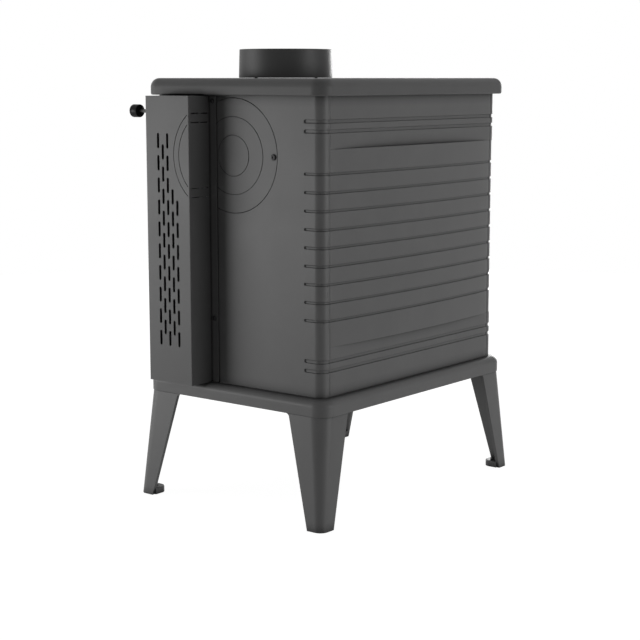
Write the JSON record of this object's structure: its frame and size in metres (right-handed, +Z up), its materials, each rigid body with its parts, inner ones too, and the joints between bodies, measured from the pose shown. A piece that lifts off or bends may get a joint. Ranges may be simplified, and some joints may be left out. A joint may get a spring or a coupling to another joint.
{
  "type": "cast-iron wood stove",
  "caption": "Narrow cast-iron wood stove on four splayed legs, with a ribbed body, top flue collar, glazed front door, ash drawer and a slotted air box on its back.",
  "frame": {"origin": "on the floor, under the middle of the stove's bounding box", "axes": "+Z up, -Y towards the door, +Y towards the air box on the back, +X to the right of someone who faces the door"},
  "size_m": [0.404, 0.591, 0.743],
  "materials": {
    "cast": "matt grey-black stove paint on cast iron",
    "collar_iron": "satin black enamel on cast iron",
    "firebox_iron": "bare cast iron, sooty",
    "painted_sheet": "matt grey-black stove paint",
    "black_plastic": "moulded, satin black",
    "black_screw": "black oxide",
    "bright_steel": "zinc plated",
    "fire_clay": "fireclay slab, matt",
    "glass_rope": "knitted, dark grey",
    "dark_glass": "clear glass, slightly smoked"
  },
  "bodies": {
    "stove_body": {"base_frame": "cast", "leg_front_left": "cast", "leg_front_right": "cast", "leg_back_right": "cast", "leg_back_left": "cast", "side_panel_left": "cast", "side_panel_right": "cast", "back_panel": "cast", "front_frame": "cast", "top_plate": "cast", "rear_flue_cover": "cast", "flue_collar": "collar_iron", "grate_bed": "firebox_iron", "grate": "firebox_iron", "baffle_plate": "firebox_iron", "log_guard": "firebox_iron", "air_box": "painted_sheet", "leg_bolt_front_left": "black_screw", "leg_bolt_front_right": "black_screw", "leg_bolt_back_right": "black_screw", "leg_bolt_back_left": "black_screw", "collar_screw_left": "black_screw", "collar_screw_right": "black_screw", "cover_screw_left": "black_screw", "cover_screw_right": "black_screw", "air_box_screw_inner_lower": "black_screw", "air_box_screw_inner_upper": "black_screw", "air_box_screw_outer_lower": "black_screw", "air_box_screw_outer_upper": "black_screw", "keeper_screw": "black_screw", "tie_rod_front_left": "bright_steel", "tie_rod_front_right": "bright_steel", "tie_rod_back_right": "bright_steel", "tie_rod_back_left": "bright_steel", "latch_keeper": "bright_steel", "hinge_pin_lower": "bright_steel", "hinge_pin_upper": "bright_steel", "pan_runner_left": "bright_steel", "pan_runner_right": "bright_steel", "side_liner_left": "fire_clay", "side_liner_right": "fire_clay", "back_liner": "fire_clay"},
    "door": {"door_frame": "cast", "door_rope": "glass_rope", "door_glass": "dark_glass", "glass_gasket": "glass_rope", "glass_retainer_lower": "bright_steel", "glass_retainer_upper": "bright_steel", "retainer_screw_lower": "black_screw", "retainer_screw_upper": "black_screw"},
    "door_handle": {"handle_spindle": "bright_steel", "handle_lever": "bright_steel", "handle_grip": "black_plastic", "latch_cam": "bright_steel"},
    "ash_drawer": {"ash_drawer_front": "cast", "ash_pan": "painted_sheet", "ash_drawer_knob": "black_plastic"},
    "air_control": {"air_shutter": "bright_steel", "air_rod": "bright_steel", "air_knob": "black_plastic"}
  },
  "joints": [
    {"name": "door_hinge", "type": "hinge", "parent": "stove_body", "child": "door", "pos_m": [-0.137, -0.2575, 0.47], "axis": [0, 0, -1], "range_deg": [0, 110]},
    {"name": "handle_turn", "type": "hinge", "parent": "door", "child": "door_handle", "pos_m": [0.135, -0.2575, 0.47], "axis": [0, 1, 0], "range_deg": [0, 90]},
    {"name": "ash_drawer_slide", "type": "slide", "parent": "stove_body", "child": "ash_drawer", "axis": [0, -1, 0], "range_m": [0, 0.25]},
    {"name": "air_control_slide", "type": "slide", "parent": "stove_body", "child": "air_control", "axis": [-1, 0, 0], "range_m": [0, 0.028]}
  ]
}
